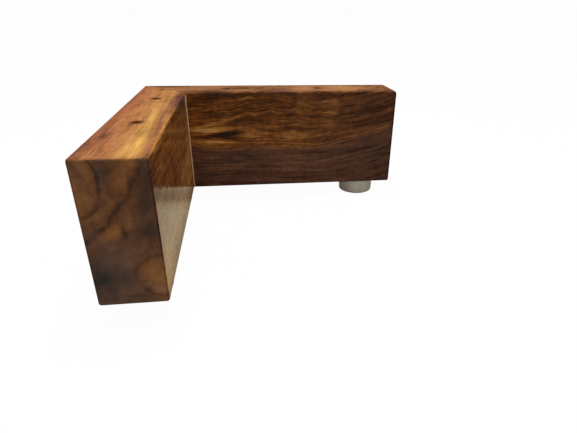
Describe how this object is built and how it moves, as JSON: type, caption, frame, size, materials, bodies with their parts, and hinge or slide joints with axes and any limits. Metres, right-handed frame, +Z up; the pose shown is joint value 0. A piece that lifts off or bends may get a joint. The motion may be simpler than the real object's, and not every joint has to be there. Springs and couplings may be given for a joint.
{
  "type": "furniture corner foot",
  "caption": "L-shaped hardwood foot for the corner of a sofa or cabinet: mitred boards, screw holes through the height, plastic glides underneath.",
  "frame": {"origin": "on the floor, under the middle of the foot's box", "axes": "+Z up through the foot's height; the far arm runs along +X from the outer corner and the near arm along -Y"},
  "size_m": [0.16, 0.16, 0.07],
  "materials": {
    "near_timber": "gloss lacquer over figured reddish brown hardwood",
    "far_timber": "gloss lacquer over figured brown hardwood",
    "dowel_beech": "bare fluted beech",
    "dried_glue": "hardened wood glue, satin",
    "glide_plastic": "moulded polypropylene, satin",
    "screw_steel": "zinc plated"
  },
  "bodies": {
    "root": {"near_arm": "near_timber", "far_arm": "far_timber", "mitre_dowel_upper": "dowel_beech", "mitre_dowel_lower": "dowel_beech", "corner_glue_line": "dried_glue", "far_end_glide": "glide_plastic", "near_end_glide": "glide_plastic", "corner_glide": "glide_plastic", "far_end_glide_screw": "screw_steel", "near_end_glide_screw": "screw_steel", "corner_glide_screw": "screw_steel"}
  },
  "joints": []
}
